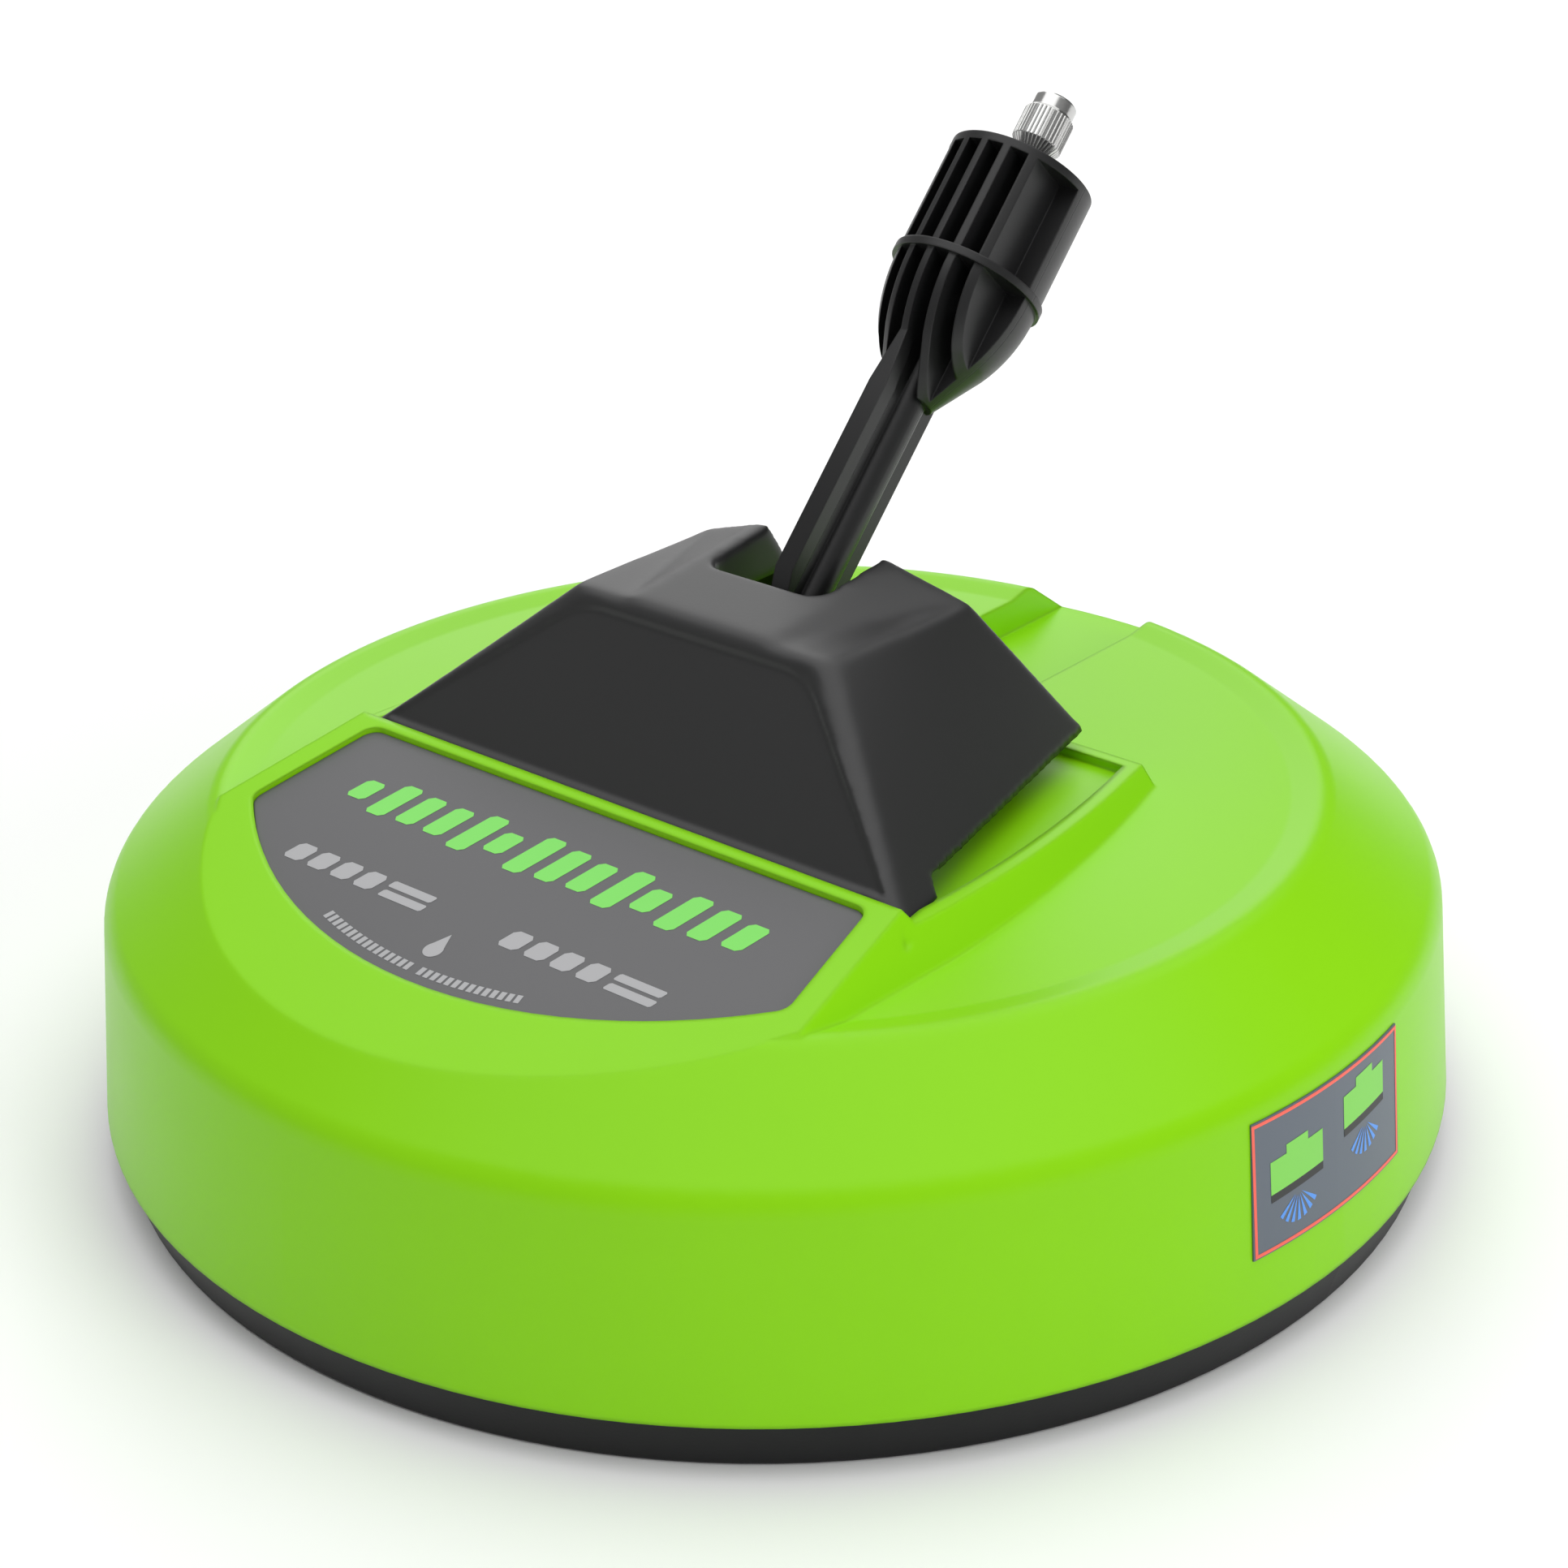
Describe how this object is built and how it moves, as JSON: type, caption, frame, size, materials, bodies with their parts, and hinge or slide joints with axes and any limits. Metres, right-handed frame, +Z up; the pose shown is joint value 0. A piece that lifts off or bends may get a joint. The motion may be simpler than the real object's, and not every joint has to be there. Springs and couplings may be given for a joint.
{
  "type": "pressure washer surface cleaner",
  "caption": "Round green surface cleaner deck on a black skirt, with a wedge-shaped black cover, a tilting ribbed wand ending in a quick-connect plug, and a water-driven spray arm underneath.",
  "frame": {"origin": "centre of the skirt's bottom edge, on the floor", "axes": "+Z up along the rotor's axis, -Y towards the badge at the front, +Y the way the wand leans, +X to the side label"},
  "size_m": [0.316, 0.316, 0.2185],
  "materials": {
    "deck_green": "glossy injection-moulded green plastic",
    "skirt_black": "semi-gloss black moulded rubber",
    "cover_black": "fine matte black moulded plastic",
    "wand_black": "satin black glass-filled plastic",
    "badge_grey": "satin dark grey plate",
    "label_slate": "satin printed film",
    "stainless": "turned stainless steel",
    "brass": "machined brass",
    "block_plastic": "glass-filled black plastic",
    "bush_plastic": "off-white bearing plastic",
    "seal_rubber": "black nitrile rubber",
    "screw_steel": "zinc-plated steel"
  },
  "bodies": {
    "deck": {"shroud": "deck_green", "skirt_ring": "skirt_black", "skirt_screws": "screw_steel", "badge_plate": "badge_grey", "side_label": "label_slate", "top_cover": "cover_black", "cover_screws": "screw_steel", "pivot_yoke": "block_plastic", "pivot_plugs": "brass", "yoke_screws": "screw_steel", "swivel_housing": "block_plastic", "shaft_seal": "seal_rubber", "upper_bush": "bush_plastic", "lower_bush": "bush_plastic", "bush_retainer": "block_plastic", "retainer_screws": "screw_steel"},
    "wand": {"wand_front_shell": "wand_black", "wand_back_shell": "wand_black", "lance_tube": "stainless", "quick_plug": "stainless", "plug_seal": "seal_rubber", "trunnion_tee": "brass", "trunnion_seals": "seal_rubber", "wand_screws": "screw_steel"},
    "rotor": {"rotor_shaft": "stainless", "shaft_circlip": "screw_steel", "thrust_washer": "bush_plastic", "spray_hub": "brass", "hub_cap": "brass", "spray_arm_left": "stainless", "spray_arm_right": "stainless", "nozzle_bodies": "brass", "nozzle_tips": "stainless"}
  },
  "joints": [
    {"name": "wand_tilt", "type": "hinge", "parent": "deck", "child": "wand", "pos_m": [0, 0, 0.104], "axis": [-1, 0, 0], "range_deg": [-14, 50]},
    {"name": "rotor_spin", "type": "hinge", "parent": "deck", "child": "rotor", "pos_m": [0, 0, 0.04], "axis": [0, 0, 1], "continuous": true}
  ]
}
